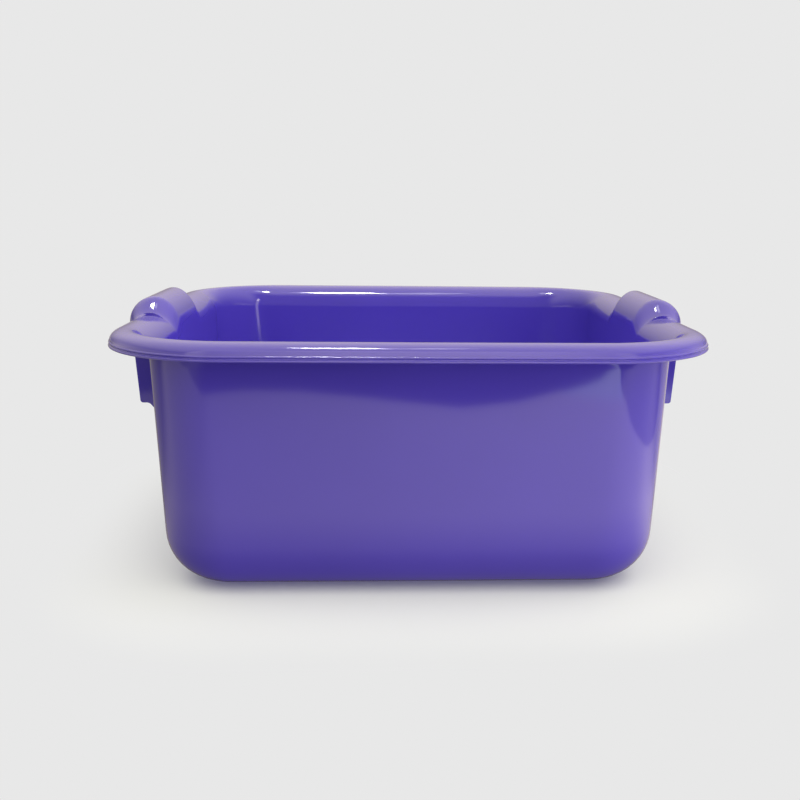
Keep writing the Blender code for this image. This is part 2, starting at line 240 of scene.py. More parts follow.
@dataclass
class Moulding:
    """Floor, walls, rim, grips and foot ring of the basin as one closed shell.

    The shell is a grid. One direction follows the profile, from the middle of the floor up
    the wall, over the rim, back under the lip, down the outside and under the floor. The
    other goes round the basin. A grid point lies on a rounded square whose half side, corner
    radius and height come from the profile.
    """

    rim_half: float = 0.200
    rim_corner_radius: float = 0.086
    side_bow: float = 0.0005
    crest_height: float = 0.1743
    overhang: float = 0.0283
    crest_inset: float = 0.0126
    shoulder_drop: float = 0.0185
    shoulder_fullness: float = 0.52
    brow_fullness: float = 0.55
    ridge_inset: float = 0.0010
    ridge_drop: float = 0.0069

    wall: float = 0.0020
    draft: float = math.radians(1.7)
    wall_corner_radius: float = 0.0434
    base_corner_radius: float = 0.0475
    bottom_radius: float = 0.0353

    grip_rise: float = 0.0114
    grip_inner_rise: float = 0.0076
    grip_bulge: float = 0.0059
    grip_top: float = 0.071
    grip_slope: float = 0.0205
    grip_slant: float = 0.0096
    grip_zone: float = 0.072

    # The ridge, the lip and the double bead, as inset and drop below the ridge's height. The
    # first rows are the ridge's flash.
    lip: tuple = (
        (0.00096, 0.00010),
        (0.00080, 0.00024),
        (0.00055, 0.00038),
        (0.00036, 0.00058),
        (0.00032, 0.00085),
        (0.00040, 0.00115),
        (0.00070, 0.00145),
        (0.00098, 0.00180),
        (0.00100, 0.00215),
        (0.00072, 0.00240),
        (0.00030, 0.00262),
        (0.00006, 0.00295),
        (0.00004, 0.00335),
        (0.00030, 0.00380),
        (0.00080, 0.00408),
        (0.00150, 0.00420),
        (0.00230, 0.00415),
        (0.00285, 0.00385),
        (0.00300, 0.00340),
    )
    flash_rows: int = 6
    first_flash_row: int = 0

    # The foot ring from its outer to its inner side, as shares of its width and height.
    foot_height: float = 0.002
    foot_width: float = 0.005
    foot_margin: float = 0.005
    foot_outline: tuple = (
        (0.0, 1.0),
        (0.0, 0.25),
        (0.06, 0.06),
        (0.25, 0.0),
        (0.75, 0.0),
        (0.94, 0.06),
        (1.0, 0.25),
        (1.0, 1.0),
    )

    # Last rows of the wall below the shoulder, rows of its outer face above it that run into
    # the roll, and the share of the shoulder's curve at which they meet its underside.
    wall_stop: float = 0.002
    wall_end: float = 0.0004
    wall_tops: tuple = (0.0042, 0.0038, 0.0)
    underside_end: float = 0.76

    # Rings of the flat floor and of its underside, as shares of the way from the middle.
    floor_rings: tuple = (0.02, 0.2, 0.45, 0.7, 0.88)
    underside_rings: tuple = (0.985, 0.75, 0.45, 0.2, 0.02)

    # Steps of the grid round the basin, and along the profile.
    side_steps: int = 24
    corner_steps: int = 22
    arch_top_steps: int = 8
    arch_slope_steps: int = 38
    arch_foot_steps: int = 5
    arch_margin: float = 0.001
    stub_steps: int = 9
    bottom_steps: int = 12
    wall_steps: int = 10
    shoulder_steps: int = 18
    brow_steps: int = 22
    under_brow_steps: int = 9
    under_shoulder_steps: int = 8

    stations: np.ndarray = field(init=False)

    def __post_init__(self) -> None:
        """Lay out the places round the basin.

        Each station is (side, angle, fixed, share). On a side, the distance from its middle is
        the fixed length plus the share of the side's straight half. Round a corner the share
        is 1 and the angle runs to a quarter turn.
        """
        blocks = []
        for number, side in enumerate(Side):
            fixed, shares = 0.0, spread(-1.0, 1.0, self.side_steps)
            if side.has_grip:
                fixed, shares = self.grip_stations()
            blocks.append(np.broadcast_arrays(number, 0.0, fixed, shares))
            angles = spread(0.0, math.pi / 2, self.corner_steps)[1:-1]
            blocks.append(np.broadcast_arrays(number, angles, 0.0, 1.0))
        self.stations = np.vstack([np.column_stack(block) for block in blocks])

    @property
    def shoulder_z(self) -> float:
        """Height at which the roll leaves the wall."""
        return self.crest_height - self.shoulder_drop

    @property
    def ridge_z(self) -> float:
        """Height of the fine ridge at the end of the roll."""
        return self.crest_height - self.ridge_drop

    @property
    def bottom_z(self) -> float:
        """Height of the centre of the bottom curve."""
        return self.foot_height + self.bottom_radius

    @property
    def bottom_inset(self) -> float:
        """Inset of the centre of the bottom curve."""
        return self.wall_foot_inset + self.bottom_radius * math.cos(self.draft)

    @property
    def wall_foot_z(self) -> float:
        """Height at which the bottom curve runs into the wall."""
        return self.bottom_z - self.bottom_radius * math.sin(self.draft)

    @property
    def wall_foot_inset(self) -> float:
        """Inset of the wall's outer face at its foot."""
        return self.wall_inset(self.wall_foot_z)

    def wall_inset(self, z: float) -> float:
        """Inset of the wall's outer face, which leans in below the roll."""
        return self.overhang + max(self.shoulder_z - z, 0.0) * math.tan(self.draft)

    def fullness(self, flank: Flank) -> float:
        """Fullness of one side of the roll."""
        return self.shoulder_fullness if flank is Flank.SHOULDER else self.brow_fullness

    def grip_stations(self) -> tuple[np.ndarray, np.ndarray]:
        """Places along a side with a grip, closest together on the arch's two ends.

        Returns:
            The fixed length and the share of each place.
        """
        top = (self.grip_top - self.grip_slant) / 2 - self.arch_margin
        foot = (self.grip_top + self.grip_slant) / 2 + self.grip_slope + self.arch_margin
        half = np.concatenate(
            [
                spread(0.0, top, self.arch_top_steps),
                spread(top, foot, self.arch_slope_steps)[1:],
                spread(foot, self.grip_zone, self.arch_foot_steps)[1:],
            ]
        )
        arch = np.concatenate([-half[:0:-1], half])
        shares = spread(0.0, 1.0, self.stub_steps)[1:]
        stub = self.grip_zone * (1 - shares)
        fixed = np.concatenate([-stub[::-1], arch, stub])
        return fixed, np.concatenate([-shares[::-1], np.zeros(len(arch)), shares])

    def arch_share(self, outward: float) -> np.ndarray:
        """Share of the arch's rise at every station, for one place across the rim.

        It is 1 along the top and falls as a smooth step over the sloping end, whose start
        lies further from the middle towards the lip.

        Args:
            outward: Place across the rim, 0 at the wall and 1 at the lip.

        Returns:
            The shares, 0 away from the grips.
        """
        side, angle, fixed, reach = self.stations.T
        has_grip = np.array([side.has_grip for side in Side])[side.astype(int)]
        top = self.grip_top / 2 + self.grip_slant * (outward - 0.5)
        share = np.clip((top + self.grip_slope - np.abs(fixed)) / self.grip_slope, 0.0, 1.0)
        return smooth_step(share * (has_grip & (angle == 0.0) & (reach == 0.0)))

    def roll_size(
        self, flank: Flank, rise: np.ndarray
    ) -> tuple[np.ndarray, np.ndarray, np.ndarray]:
        """Size of the roll on one side of its crest.

        Args:
            flank: The side of the roll.
            rise: Share of the arch's rise.

        Returns:
            The crest's height, how far this side falls from it, and how broad it is.
        """
        crest = self.crest_height + rise * self.grip_rise
        if flank is Flank.SHOULDER:
            fall = crest - self.shoulder_z - rise * self.grip_inner_rise
            return crest, fall, self.overhang + self.wall - self.crest_inset
        breadth = self.crest_inset - self.ridge_inset + rise * self.grip_bulge
        return crest, crest - self.ridge_z, breadth

    def roll_row(self, flank: Flank, share: float, depth: float) -> Row:
        """One row of the roll, or of its underside.

        The curve of the roll is stretched to its size at each station, and each point is then
        moved inward along the curve's normal by the depth. The corner's radius outside the
        crest keeps one centre for all rows. From the crest inward it goes evenly to that of
        the wall, which is tighter.

        Args:
            flank: The side of the roll.
            share: Place on the curve, 0 at the crest and 1 at its end.
            depth: Distance below the face.

        Returns:
            The row.
        """
        fullness, rest = self.fullness(flank), 1 - share
        reach, drop = roll_curve(share, fullness)
        run = 3 * rest * rest * fullness + 6 * rest * share * (1 - fullness)
        slope = 6 * rest * share * (1 - fullness) + 3 * share * share * fullness
        crest, fall, breadth = self.roll_size(
            flank, self.arch_share((1 + flank.value * reach) / 2)
        )
        norm = np.hypot(slope * fall, run * breadth)
        face = self.crest_inset - flank.value * breadth * reach
        inset = face + flank.value * depth * slope * fall / norm
        z = crest - fall * drop - depth * run * breadth / norm
        radius = self.rim_corner_radius - face
        if flank is Flank.SHOULDER:
            at_crest = self.rim_corner_radius - self.crest_inset
            at_wall = self.wall_corner_radius - self.wall
            radius = at_crest + (at_wall - at_crest) * reach
        return inset, radius + face - inset, z

    def level_row(self, inset: float, radius: float, z: float) -> Row:
        """A row that is the same at every station."""
        level = np.ones(len(self.stations))
        return inset * level, radius * level, z * level

    def bottom_row(self, arc: float, angle: float) -> Row:
        """One row of the arc that joins the floor and the wall.

        Args:
            arc: Radius of the arc.
            angle: Angle below the level of its centre.

        Returns:
            The row.
        """
        inset = self.bottom_inset - arc * math.cos(angle)
        radius = self.base_corner_radius - (inset - self.wall_foot_inset)
        return self.level_row(inset, radius, self.bottom_z - arc * math.sin(angle))

    def wall_row(self, z: float, depth: float) -> Row:
        """One row of the wall, whose corner tightens evenly from its foot to the shoulder.

        Args:
            z: Height of the row.
            depth: Distance inside the outer face.

        Returns:
            The row.
        """
        share = (z - self.wall_foot_z) / (self.shoulder_z - self.wall_foot_z)
        growth = (self.wall_corner_radius - self.base_corner_radius) * share
        radius = self.base_corner_radius + growth - depth
        return self.level_row(self.wall_inset(z) + depth, radius, z)

    def lip_rows(self) -> list[Row]:
        """Rows of the ridge and the lip, which stand out further under the grips.

        Returns:
            The rows from the ridge down and round the lip's lower edge.
        """
        bulge = self.arch_share(1.0) * self.grip_bulge
        rows = []
        for inset, drop in self.lip:
            face = inset - bulge
            z = np.full_like(face, self.ridge_z - drop)
            rows.append((face, self.rim_corner_radius - face, z))
        return rows

    def foot_rows(self) -> list[Row]:
        """Rows of the foot ring.

        Returns:
            The rows from its outer to its inner side.
        """
        rows = []
        for across, up in self.foot_outline:
            inset = self.bottom_inset + self.foot_margin + across * self.foot_width
            radius = self.base_corner_radius - (inset - self.wall_foot_inset)
            rows.append(self.level_row(inset, radius, up * self.foot_height))
        return rows

    def profile(self) -> list[Row]:
        """Rows of the grid, and the number of the first row of the flash.

        Returns:
            The rows from the edge of the floor's top, over the rim, to the foot ring.
        """
        bottom = spread(math.pi / 2, self.draft, self.bottom_steps)
        stop = self.shoulder_z - self.wall_stop
        heights = spread(self.wall_foot_z, stop, self.wall_steps)[1:]
        heights = np.append(heights, self.shoulder_z - self.wall_end)
        under_brow = spread(1.0, 0.0, self.under_brow_steps)
        under_shoulder = spread(0.0, self.underside_end, self.under_shoulder_steps)[1:]
        rows = [self.bottom_row(self.bottom_radius - self.wall, angle) for angle in bottom]
        rows += [self.wall_row(z, self.wall) for z in heights]
        for flank, shares in (
            (Flank.SHOULDER, spread(1.0, 0.0, self.shoulder_steps)),
            (Flank.BROW, spread(0.0, 1.0, self.brow_steps)[1:]),
        ):
            rows += [self.roll_row(flank, share, 0.0) for share in shares]
        self.first_flash_row = len(rows)
        rows += self.lip_rows()
        for flank, shares in ((Flank.BROW, under_brow), (Flank.SHOULDER, under_shoulder)):
            rows += [self.roll_row(flank, share, self.wall) for share in shares]
        rows += [self.wall_row(self.shoulder_z + above, 0.0) for above in self.wall_tops]
        rows += [self.wall_row(z, 0.0) for z in heights[::-1]]
        rows += [self.bottom_row(self.bottom_radius, angle) for angle in bottom[::-1]]
        return rows + self.foot_rows()

    def place(self, row: Row) -> np.ndarray:
        """Points of one row.

        A point lies outward by the half side less the inset, less the corner's fall away, and
        along the side by its distance plus the corner's radius times the sine of the angle.
        Between corners the side swells by the bow times (1 - q q) squared, where q is the
        distance as a share of the straight half.

        Args:
            row: The row.

        Returns:
            An array of points, one for each station.
        """
        inset, radius, z = row
        side, angle, fixed, share = self.stations.T
        outward = np.array([side.value for side in Side])[side.astype(int)]
        along = np.array([side.turned for side in Side])[side.astype(int)]
        reach = self.rim_half - inset - radius
        distance = fixed + share * reach
        swell = self.side_bow * (1 - (distance / reach) ** 2) ** 2
        out = self.rim_half - inset - radius * (1 - np.cos(angle)) + swell
        sideways = distance + radius * np.sin(angle)
        plan = outward * out[:, None] + along * sideways[:, None]
        return np.column_stack([plan, z])

    def build(self, finish: bpy.types.Material) -> bpy.types.Object:
        """Make the shell's mesh and object.

        Args:
            finish: The plastic.

        Returns:
            The shell, at the origin.
        """
        rows = [self.place(row) for row in self.profile()]
        top = [rows[0] * np.array([s, s, 1.0]) for s in self.floor_rings]
        under = [rows[-1] * np.array([s, s, 1.0]) for s in self.underside_rings]
        grid = np.array(top + rows + under)
        count, around = grid.shape[:2]
        points = grid.reshape(-1, 3)
        poles = np.array([[0.0, 0.0, rows[0][0, 2]], [0.0, 0.0, rows[-1][0, 2]]])
        ring = np.arange(around)
        after = (ring + 1) % around
        lines = np.arange(count - 1)[:, None] * around
        corners = [lines + ring, lines + after, lines + around + after, lines + around + ring]
        quads = np.stack(corners, -1).reshape(-1, 4)
        first, last = len(points), len(points) + 1
        end = (count - 1) * around
        top_fan = np.column_stack([np.full(around, first), after, ring])
        under_fan = np.column_stack([np.full(around, last), end + ring, end + after])
        faces = quads.tolist() + top_fan.tolist() + under_fan.tolist()
        shell = make_object("basin_moulding", np.vstack([points, poles]), faces, finish)
        flash = np.zeros(len(points) + len(poles))
        start = (len(top) + self.first_flash_row) * around
        flash[start : start + self.flash_rows * around] = 1.0
        shell.data.attributes.new("flash", "FLOAT", "POINT").data.foreach_set("value", flash)
        return shell


def make_object(
    name: str, points: np.ndarray, faces: list, finish: bpy.types.Material
) -> bpy.types.Object:
    """Put points and faces into a smooth mesh that lies at the origin.

    Args:
        name: Name of the piece.
        points: One row of x, y and z for each vertex.
        faces: Vertex numbers of each face.
        finish: The piece's material.

    Returns:
        The new object, linked to the scene.
    """
    mesh = bpy.data.meshes.new(name)
    mesh.from_pydata(points.tolist(), [], faces)
    mesh.update()
    if signed_volume(mesh) < 0:
        mesh.flip_normals()
    mesh.shade_smooth()
    mesh.materials.append(finish)
    piece = bpy.data.objects.new(name, mesh)
    bpy.context.scene.collection.objects.link(piece)
    return piece


def signed_volume(mesh: bpy.types.Mesh) -> float:
    """Volume of a closed mesh, the sum of the pyramids from the origin to its triangles.

    Args:
        mesh: The mesh.

    Returns:
        The volume, negative where the faces point inwards.
    """
    mesh.calc_loop_triangles()
    corners = np.empty(len(mesh.loop_triangles) * 3, np.int32)
    mesh.loop_triangles.foreach_get("vertices", corners)
    points = np.empty(len(mesh.vertices) * 3)
    mesh.vertices.foreach_get("co", points)
    a, b, c = points.reshape(-1, 3)[corners.reshape(-1, 3)].transpose(1, 0, 2)
    return float(np.einsum("ij,ij->i", a, np.cross(b, c)).sum() / 6)


@dataclass
class Webs:
    """The four upright webs between the wall and the underside of the grips' ends."""

    moulding: Moulding
    spacing: float = 0.106
    thickness: float = 0.0025
    height: float = 0.054
    draft: float = math.radians(3.8)
    corner_radius: float = 0.0020
    flat: float = 0.0045
    hollow_radius: float = 0.0040
    foot_angle: float = math.radians(50.0)
    lip_height: float = 0.0042

    # How far a web runs up behind the lip, into the wall, in from the lip and below the skin
    # of the roll, and the stretch of the roll's two curves that its roof follows.
    edge_tuck: float = 0.0012
    edge_inset: float = 0.0002
    skirt_inset: float = 0.0022
    wall_bite: float = 0.0008
    roof_depth: float = 0.0013
    roof_breadth: float = 0.88
    roof_at_wall: float = 0.92
    roof_at_lip: float = 0.80

    edge_rounding: float = 0.0006
    edge_segments: int = 3
    bevelled_above: float = math.radians(40)
    sharp_above: float = math.radians(35)
    corner_steps: int = 5
    hollow_steps: int = 6
    roof_steps: int = 7

    def outline(self) -> np.ndarray:
        """Outline of a web: up the wall, over under the roll, down the edge.

        The edge runs straight at its draft to a small round corner, then the lower edge goes
        level, through a hollow arc and at the foot's slope to the wall.

        Returns:
            The points as inset and height.
        """
        body = self.moulding
        share = (body.grip_top + body.grip_slant) / 2 + body.grip_slope
        share -= (self.spacing + self.thickness) / 2
        rise = smooth_step(share / body.grip_slope)
        bulge = body.grip_bulge * rise
        top_z = body.ridge_z - self.lip_height + self.edge_tuck
        bottom_z = body.ridge_z - self.lip_height - self.height
        edge_top = np.array([self.edge_inset - bulge, top_z])
        lean = (top_z - bottom_z) * math.tan(self.draft)
        edge_low = np.array([edge_top[0] + lean, bottom_z])
        up = (edge_top - edge_low) / np.linalg.norm(edge_top - edge_low)
        level = np.array([1.0, 0.0])
        half = math.acos(up[0]) / 2
        setback = self.corner_radius / math.tan(half)
        start, end = edge_low + up * setback, edge_low + level * setback
        middle = edge_low + (up + level) * self.corner_radius / math.sin(2 * half)
        turn = spread(0.0, 1.0, self.corner_steps)[:, None]
        arms = (start - middle) * (1 - turn) + (end - middle) * turn
        corner = middle + arms / np.linalg.norm(arms, axis=1)[:, None] * self.corner_radius
        angle = spread(0.0, self.foot_angle, self.hollow_steps)
        hollow = self.hollow_radius * np.column_stack([np.sin(angle), np.cos(angle) - 1])
        hollow += edge_low + level * self.flat
        into_wall = body.overhang + self.wall_bite
        run = 1 / math.tan(self.foot_angle)
        lean = math.tan(body.draft)
        last = hollow[-1]
        foot_z = (last[0] + last[1] * run - into_wall - body.shoulder_z * lean) / (run - lean)
        foot = np.array([into_wall + (body.shoulder_z - foot_z) * lean, foot_z])
        inner_top = np.array([into_wall, body.shoulder_z])
        roof = self.roof(rise)
        skirt_inset = self.skirt_inset - bulge
        skirt = np.array([[skirt_inset, roof[-1, 1]], [skirt_inset, top_z]])
        return np.vstack([foot, inner_top, roof, skirt, edge_top, corner, hollow])

    def roof(self, rise: float) -> np.ndarray:
        """Top edge of a web, a little inside the skin of the roll above it.

        Args:
            rise: Share of the arch's rise over the web.

        Returns:
            Points from the wall towards the lip as inset and height.
        """
        body = self.moulding
        points = []
        for flank, shares in (
            (Flank.SHOULDER, spread(self.roof_at_wall, 0.0, self.roof_steps)),
            (Flank.BROW, spread(0.0, self.roof_at_lip, self.roof_steps)[1:]),
        ):
            reach, drop = roll_curve(shares, body.fullness(flank))
            crest, fall, breadth = body.roll_size(flank, rise)
            inset = body.crest_inset - flank.value * breadth * reach * self.roof_breadth
            points.append(np.column_stack([inset, crest - fall * drop - self.roof_depth]))
        return np.vstack(points)

    def build(self, finish: bpy.types.Material) -> list[bpy.types.Object]:
        """Make the four webs.

        Args:
            finish: The plastic.

        Returns:
            The webs, named for their side and end.
        """
        body = self.moulding
        inset, z = self.outline().T
        count = len(z)
        ring = np.arange(count)
        after = (ring + 1) % count
        faces = [ring.tolist(), (ring[::-1] + count).tolist()]
        faces += np.column_stack([after, ring, ring + count, after + count]).tolist()
        pieces = []
        for side_name, sign in (("left", -1.0), ("right", 1.0)):
            for end_name, end in (("front", -1.0), ("back", 1.0)):
                layers = []
                for face in (-0.5, 0.5):
                    y = end * self.spacing / 2 + face * self.thickness
                    reach = body.rim_half - body.rim_corner_radius
                    swell = body.side_bow * (1 - (y / reach) ** 2) ** 2
                    x = sign * (body.rim_half + swell - inset)
                    layers.append(np.column_stack([x, np.full(count, y), z]))
                name = f"{side_name}_{end_name}_web_skin"
                web = make_object(name, np.vstack(layers), faces, finish)
                bevel = web.modifiers.new("rounded_edges", "BEVEL")
                bevel.width = self.edge_rounding
                bevel.segments = self.edge_segments
                bevel.limit_method = "ANGLE"
                bevel.angle_limit = self.bevelled_above
                web.data.set_sharp_from_angle(angle=self.sharp_above)
                pieces.append(web)
        return pieces


@dataclass(frozen=True)
class Fade:
    """A brightness that runs from low to high between two ends, and is level beyond them.

    An eased fade is a smooth step, and any other is a straight line. The centre is for a
    distance to the left or right.
    """

    along: Measure
    start: float
    end: float
    low: float
    high: float
    eased: bool = True
    centre: float = 0.0


def fold(
    tree: bpy.types.NodeTree, operation: str, *values: bpy.types.NodeSocket | float
) -> bpy.types.NodeSocket:
    """Join values one after the other by one sum.

    Args:
        tree: The tree.
        operation: Blender's name of the sum.
        *values: The first is a socket.

    Returns:
        The result, or the first value where it is the only one.
    """
    result, *others = values
    for other in others:
        inputs = {0: result, 1: other}
        result = add_node(tree, "ShaderNodeMath", operation=operation, inputs=inputs).outputs[0]
    return result


def measured(
    tree: bpy.types.NodeTree, place: bpy.types.NodeSocket, fade: Fade
) -> bpy.types.NodeSocket:
    """Value that a fade runs along.

    The distance from the foot is the length of what is left of x and y beyond the foot's flat
    sides. The distance to the left or right is the amount of x less the centre.

    Args:
        tree: The tree.
        place: Socket of the place or the direction.
        fade: The fade.

    Returns:
        The value's socket.
    """
    if fade.along is Measure.PATH:
        return add_node(tree, "ShaderNodeLightPath").outputs["Ray Length"]
    if fade.along is Measure.REVERSE:
        return add_node(tree, "ShaderNodeNewGeometry").outputs["Backfacing"]
    if fade.along is Measure.FOOT:
        for operation, other in (("ABSOLUTE", 0.0), ("SUBTRACT", FOOT_HALF), ("MAXIMUM", 0.0)):
            inputs = {0: place, 1: (other, other, 0.0)}
            place = add_node(
                tree, "ShaderNodeVectorMath", operation=operation, inputs=inputs
            ).outputs[0]
        length = add_node(tree, "ShaderNodeVectorMath", operation="LENGTH", inputs={0: place})
        return length.outputs["Value"]
    parts = add_node(tree, "ShaderNodeSeparateXYZ", inputs={0: place}).outputs
    if fade.along is not Measure.ASIDE:
        return parts[fade.along.value]
    off = fold(tree, "SUBTRACT", parts["X"], fade.centre)
    return add_node(tree, "ShaderNodeMath", operation="ABSOLUTE", inputs={0: off}).outputs[0]


def brightness(
    tree: bpy.types.NodeTree, place: bpy.types.NodeSocket, terms: tuple
) -> bpy.types.NodeSocket:
    """Sum of terms, each the product of its fades.

    Args:
        tree: The tree.
        place: Socket of the place or the direction.
        terms: The terms, each a tuple of fades.

    Returns:
        The socket of the brightness.
    """
    products = []
    for term in terms:
        factors = []
        for fade in term:
            spans = (fade.start, fade.end, fade.low, fade.high)
            node = add_node(
                tree,
                "ShaderNodeMapRange",
                interpolation_type="SMOOTHSTEP" if fade.eased else "LINEAR",
                inputs=dict(enumerate((measured(tree, place, fade), *spans))),
            )
            factors.append(node.outputs[0])
        products.append(fold(tree, "MULTIPLY", *factors))
    return fold(tree, "ADD", *products)


def level(outline: tuple, z: float) -> tuple:
    """Corners of a level sheet at one height."""
    return tuple((x, y, z) for x, y in outline)


def upright(low: tuple, high: tuple) -> tuple:
    """Corners of an upright sheet between two opposite ones."""
    return (low, (high[0], high[1], low[2]), high, (low[0], low[1], high[2]))


def add_sheet(
    name: str, corners: tuple, finish: str
) -> tuple[bpy.types.Object, bpy.types.NodeTree]:
    """Add a flat sheet of the stage with an empty material.

    Args:
        name: Name of the sheet.
        corners: Its corners in order.
        finish: Name of its material.

    Returns:
        The sheet and its material's tree.
    """
    mesh = bpy.data.meshes.new(name)
    mesh.from_pydata(corners, [], [tuple(range(len(corners)))])
    material = bpy.data.materials.new(finish)
    material.use_nodes = True
    material.node_tree.nodes.clear()
    mesh.materials.append(material)
    sheet = bpy.data.objects.new(name, mesh)
    bpy.context.scene.collection.objects.link(sheet)
    return sheet, material.node_tree


@dataclass(frozen=True)
class Card:
    """A flat glowing card that only reflections show.

    A clear card adds its light to what is mirrored through it. Any other card hides that.
    """

    name: str
    corners: tuple
    light: float | tuple
    colour: str = "#FFF0E8"
    clear: bool = False

    def add(self) -> None:
        """Put the card into the scene."""
        card, tree = add_sheet(self.name, self.corners, self.name)
        card.visible_camera = False
        card.visible_diffuse = False
        card.visible_shadow = False
        strength = self.light
        if isinstance(strength, tuple):
            place = add_node(tree, "ShaderNodeTexCoord").outputs["Object"]
            strength = brightness(tree, place, strength)
        inputs = {0: linear(self.colour), 1: strength}
        glow = add_node(tree, "ShaderNodeEmission", inputs=inputs)
        if self.clear:
            clear = add_node(tree, "ShaderNodeBsdfTransparent")
            inputs = {0: glow.outputs[0], 1: clear.outputs[0]}
            glow = add_node(tree, "ShaderNodeAddShader", inputs=inputs)
        add_node(tree, "ShaderNodeOutputMaterial", inputs={0: glow.outputs[0]})


@dataclass(frozen=True)
class Lamp:
    """A rectangular lamp.

    Its radiance is the brightness of its face, on a scale where the pale backdrop is 0.8.
    """

    name: str
    place: tuple
    target: tuple
    size: tuple
    radiance: float
    glint: Glint

    def add(self) -> bpy.types.Object:
        """Put the lamp into the scene.

        Returns:
            The lamp, turned to its target.
        """
        lamp = bpy.data.lights.new(self.name, "AREA")
        lamp.shape = "RECTANGLE"
        lamp.size, lamp.size_y = self.size
        lamp.energy = self.radiance * math.pi * math.pi * self.size[0] * self.size[1]
        holder = bpy.data.objects.new(self.name, lamp)
        bpy.context.scene.collection.objects.link(holder)
        toward = Vector(self.target) - Vector(self.place)
        holder.rotation_euler = toward.to_track_quat("-Z", "Y").to_euler()
        holder.location = self.place
        holder.visible_camera = False
        holder.visible_diffuse = self.glint is not Glint.MIRRORED
        holder.visible_glossy = self.glint is Glint.MIRRORED
        return holder


# The square out to the horizon, and the outlines of the pale ground and of the window's light
# on it. The mirroring wall and rim show them as the bands and the patch on the front.
HORIZON = ((-12.0, -12.0), (12.0, -12.0), (12.0, 12.0), (-12.0, 12.0))
PALE_OUTLINE = (
    (-3.0, -0.62), (-0.50, -0.62), (-0.339, -0.650), (-0.192, -0.722), (-0.124, -0.718),
    (-0.062, -0.697), (-0.001, -0.675), (0.070, -0.648), (0.143, -0.672), (0.198, -0.722),
    (0.300, -0.660), (0.420, -0.585), (0.440, -0.443), (0.478, -0.263), (0.483, -0.120),
    (0.510, -0.007), (0.603, 0.070), (0.749, 0.100), (3.0, 0.30), (3.0, 3.0), (-3.0, 3.0),
)
WINDOW_OUTLINE = (
    (0.190, -0.705), (0.232, -0.750), (0.322, -0.865), (0.345, -1.000), (0.370, -1.200),
    (0.385, -1.200), (0.357, -0.800), (0.353, -0.690), (0.400, -0.595), (0.300, -0.655),
)

# The ground is dimmer beside and behind the basin.
BEHIND = Fade(Measure.BACK, -0.15, 0.05, 1.0, 0.32)
DARK_LIGHT = (
    (Fade(Measure.ACROSS, -0.60, -0.25, 0.65, 0.12),),
    (
        Fade(Measure.ACROSS, 0.30, 0.40, 0.0, 1.1),
        Fade(Measure.BACK, -0.80, -0.68, 0.0, 1.0),
        BEHIND,
    ),
)
# It is brighter to the right and dims towards the foot, a painted shadow of the basin in the
# mirrored ground.
PALE_LIGHT = (
    (
        Fade(Measure.ACROSS, -0.32, 0.30, 1.10, 2.60, eased=False),
        # painted shadow: the glow falls to nothing at the basin's foot
        Fade(Measure.FOOT, 0.01, 0.20, 0.0, 1.0, eased=False),
        BEHIND,
    ),
)
# Left and right of the front corners, fading upwards and backwards.
SIDE_LIGHT = (
    (Fade(Measure.UP, 0.20, 0.34, 1.5, 0.0), Fade(Measure.BACK, -0.12, 0.22, 1.0, 0.0)),
)
# In front, strongest a little right of the middle. It reaches only the front rim.
FRONT_LIGHT = (
    (
        Fade(Measure.ASIDE, 0.05, 0.20, 3.3, 1.5, centre=0.02),
        Fade(Measure.UP, 0.37, 0.50, 1.0, 0.0),
        Fade(Measure.PATH, 0.34, 0.35, 1.0, 0.0, eased=False),
    ),
)
# A slim glowing card, no lamp, that the inner corner behind on the left draws out to a line, a
# painted reflection. It shines only to the left, at what stands within 90 mm. It brightens
# upwards, and a far brighter band on its top ends the line in a dot, a painted glint.
CORNER_EDGES = (
    Fade(Measure.BACK, 0.106, 0.112, 0.0, 1.0),
    Fade(Measure.BACK, 0.117, 0.123, 1.0, 0.0),
    Fade(Measure.PATH, 0.088, 0.090, 1.0, 0.0, eased=False),
    Fade(Measure.REVERSE, 0.0, 1.0, 0.0, 1.0, eased=False),
)
CORNER_LIGHT = (
    (Fade(Measure.UP, 0.118, 0.148, 0.6, 3.4), *CORNER_EDGES),
    (Fade(Measure.UP, 0.180, 0.190, 0.0, 10.0), *CORNER_EDGES),
)
CARDS = (
    Card("dark_ground", level(HORIZON, -0.0006), DARK_LIGHT),
    Card("pale_ground", level(PALE_OUTLINE, -0.0004), PALE_LIGHT),
    Card("window_ground", level(WINDOW_OUTLINE, -0.0002), 2.9, "#F0F6FF"),
    Card("left_glow", upright((-0.45, -0.9, 0.12), (-0.45, 0.25, 0.34)), SIDE_LIGHT, clear=True),
    Card("right_glow", upright((0.45, -0.9, 0.12), (0.45, 0.25, 0.34)), SIDE_LIGHT, clear=True),
    Card(
        "front_glow",
        upright((-0.23, -0.30, 0.142), (0.23, -0.30, 0.500)),
        FRONT_LIGHT,
        clear=True,
    ),
    Card(
        "corner_glow",
        upright((-0.118, 0.104, 0.105), (-0.118, 0.128, 0.200)),
        CORNER_LIGHT,
        clear=True,
    ),
)
LAMPS = (
    Lamp("strip", (-0.094, -0.01, 1.17), (-0.07, 0.0, 0.17), (0.12, 0.13), 22.0, Glint.MIRRORED),
    Lamp("strip_tail", (0.062, -0.01, 1.17), (0.04, 0.0, 0.17), (0.19, 0.1), 1.35, Glint.MIRRORED),
    Lamp("paper_panel", (-0.1, -1.27, 1.3), (-0.1, -1.27, 0.0), (2.4, 2.65), 0.42, Glint.PAPER),
    Lamp("near_panel", (0.44, -0.56, 0.12), (0.02, -0.17, 0.1), (0.2, 0.2), 2.2, Glint.SOFT),
    Lamp("high_panel", (0.40, -1.30, 1.30), (0.0, 0.0, 0.10), (0.9, 0.9), 0.15, Glint.SOFT),
    Lamp("inner_panel", (0.0, -0.13, 0.10), (0.0, 0.17, 0.10), (0.25, 0.06), 2.0, Glint.SOFT),
)
